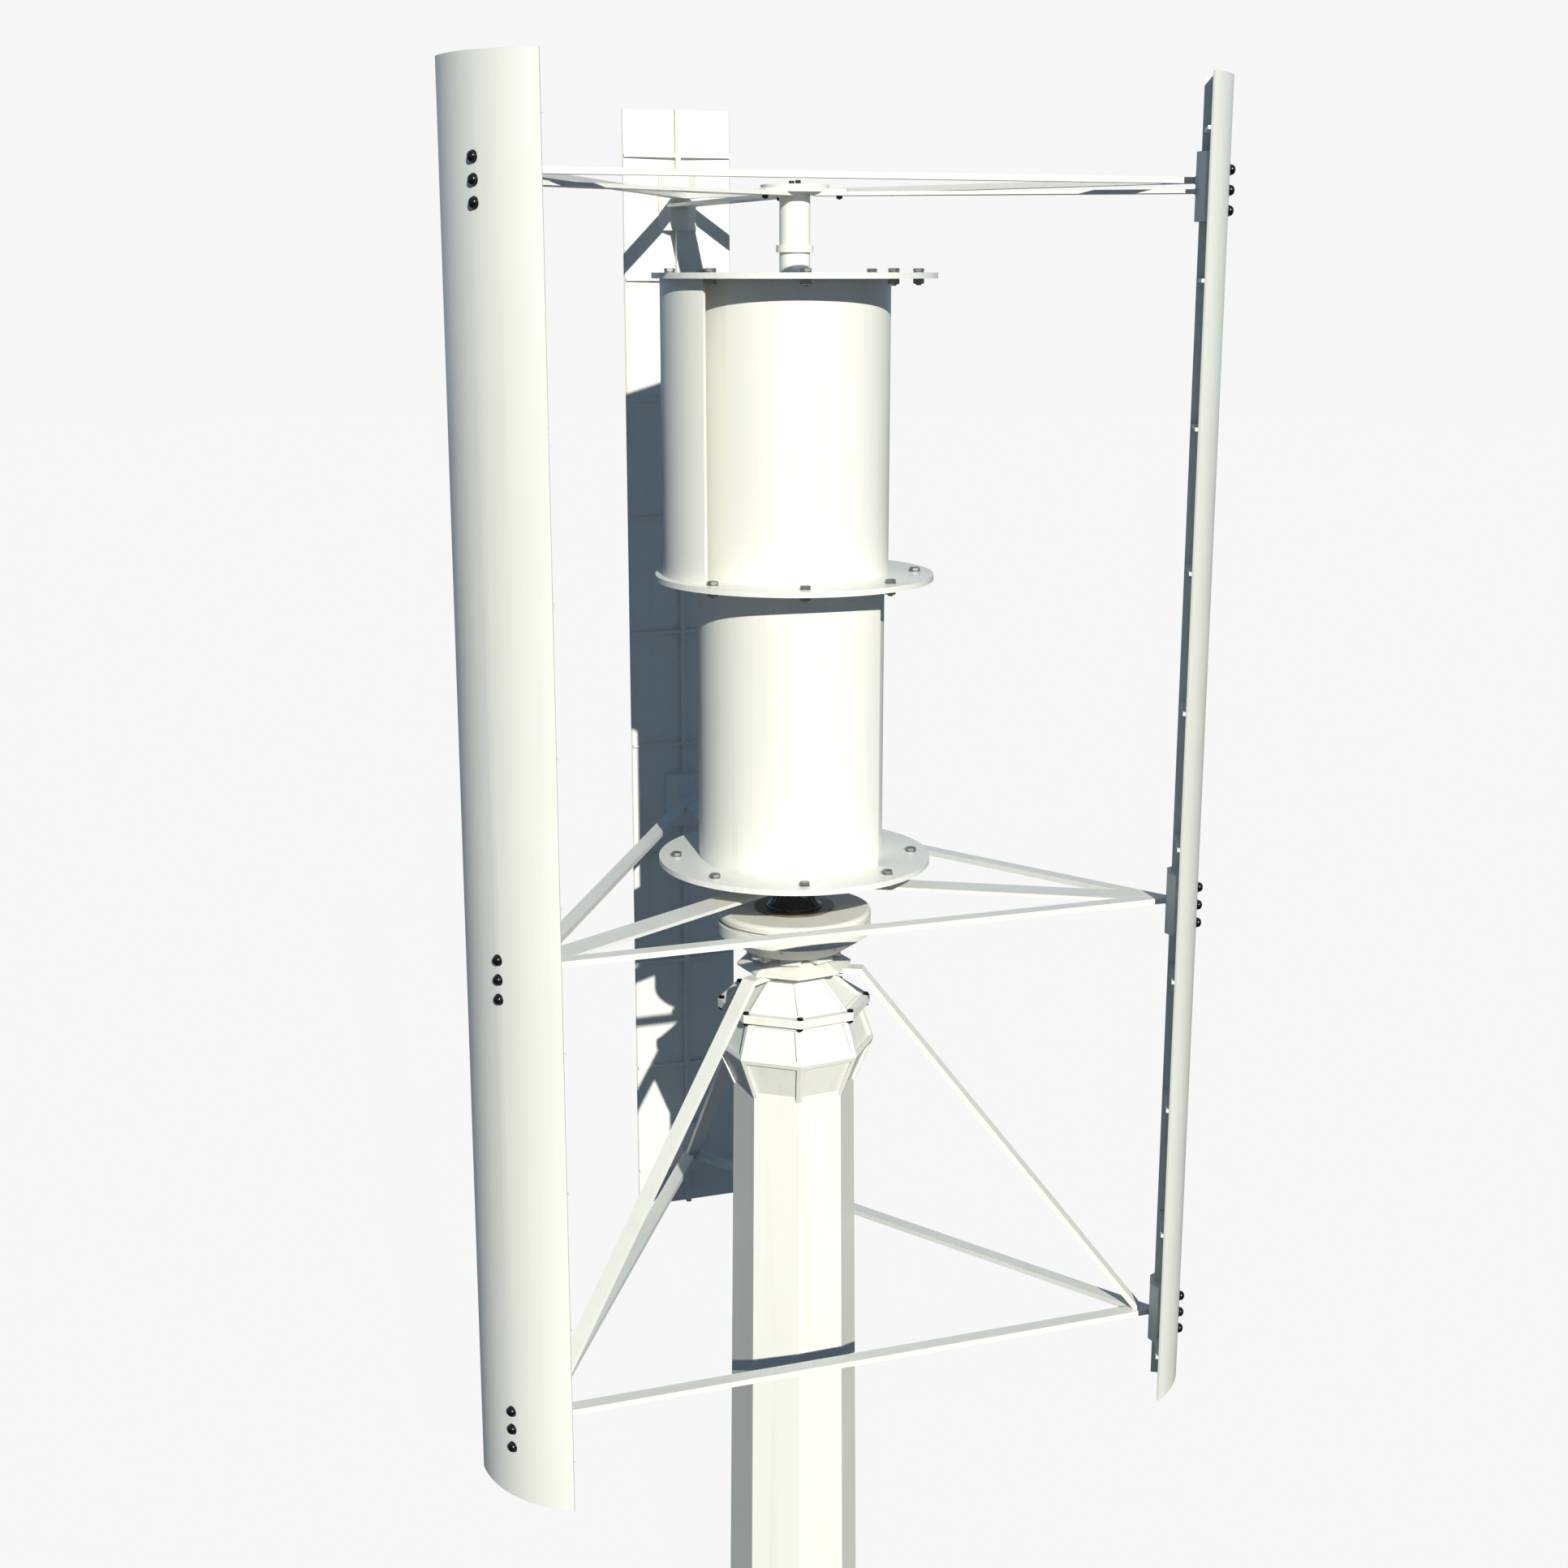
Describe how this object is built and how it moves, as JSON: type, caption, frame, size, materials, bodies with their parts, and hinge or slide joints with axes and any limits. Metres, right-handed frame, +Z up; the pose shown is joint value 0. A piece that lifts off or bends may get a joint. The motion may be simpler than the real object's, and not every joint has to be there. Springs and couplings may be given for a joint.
{
  "type": "vertical axis wind turbine",
  "caption": "Tall straight-bladed wind rotor with a curved drum inside it on one shaft, driving a ring generator on an eight-sided mast with a bolted foot.",
  "frame": {"origin": "centre of the underside of the mast's base plate, on the rotor axis", "axes": "+Z up along the rotor axis; +X points at the first blade, the others follow at 120 degree steps"},
  "size_m": [1.9162, 2.138, 5.155],
  "materials": {
    "white_paint": "warm white semi-gloss powder coat",
    "frame_paint": "warm white satin paint on flat bars and brackets",
    "mast_paint": "warm white satin paint",
    "cast_paint": "painted casting",
    "machined_steel": "machined",
    "bearing_steel": "ground",
    "dark_fasteners": "blackened",
    "bright_fasteners": "zinc plated",
    "black_rubber": "glossy moulded",
    "cable_jacket": "extruded",
    "copper_winding": "enamelled wire",
    "magnet": "nickel plated"
  },
  "bodies": {
    "mast": {"base_plate": "mast_paint", "base_gussets": "mast_paint", "mast_pole": "mast_paint", "head_shell": "mast_paint", "head_roof": "mast_paint", "head_bolts": "dark_fasteners", "spindle": "machined_steel", "spindle_sleeves": "machined_steel", "spindle_nut": "machined_steel", "power_cable": "cable_jacket", "stator_core": "machined_steel", "stator_coils": "copper_winding", "upper_bearing_inner": "bearing_steel", "lower_bearing_inner": "bearing_steel"},
    "rotor": {"blade_skin_a": "white_paint", "blade_skin_b": "white_paint", "blade_skin_c": "white_paint", "blade_spar_a": "frame_paint", "blade_spar_b": "frame_paint", "blade_spar_c": "frame_paint", "blade_ribs_a": "frame_paint", "blade_ribs_b": "frame_paint", "blade_ribs_c": "frame_paint", "top_brackets": "frame_paint", "middle_brackets": "frame_paint", "bottom_brackets": "frame_paint", "top_tie_bars": "frame_paint", "middle_tie_bars": "frame_paint", "bottom_tie_bars": "frame_paint", "top_arms": "frame_paint", "middle_arms": "frame_paint", "lower_struts": "frame_paint", "top_hub": "frame_paint", "middle_hub": "frame_paint", "top_disc": "white_paint", "middle_disc": "white_paint", "bottom_disc": "white_paint", "upper_scoop_a": "white_paint", "upper_scoop_b": "white_paint", "lower_scoop_a": "white_paint", "lower_scoop_b": "white_paint", "scoop_clips": "machined_steel", "disc_hubs": "machined_steel", "rotor_shaft": "white_paint", "shaft_collar": "white_paint", "shaft_gaiter": "black_rubber", "generator_cover": "cast_paint", "generator_pan": "cast_paint", "generator_magnets": "magnet", "hub_lugs": "cast_paint", "strut_cap": "cast_paint", "upper_bearing_outer": "bearing_steel", "upper_bearing_balls": "bearing_steel", "lower_bearing_outer": "bearing_steel", "lower_bearing_balls": "bearing_steel", "blade_bolts": "bright_fasteners", "strut_bolts": "bright_fasteners", "disc_bolts": "dark_fasteners", "hub_bolts": "dark_fasteners", "generator_screws": "dark_fasteners"}
  },
  "joints": [
    {"name": "rotor_spin", "type": "hinge", "parent": "mast", "child": "rotor", "pos_m": [0, 0, 2.7], "axis": [0, 0, 1], "continuous": true}
  ]
}
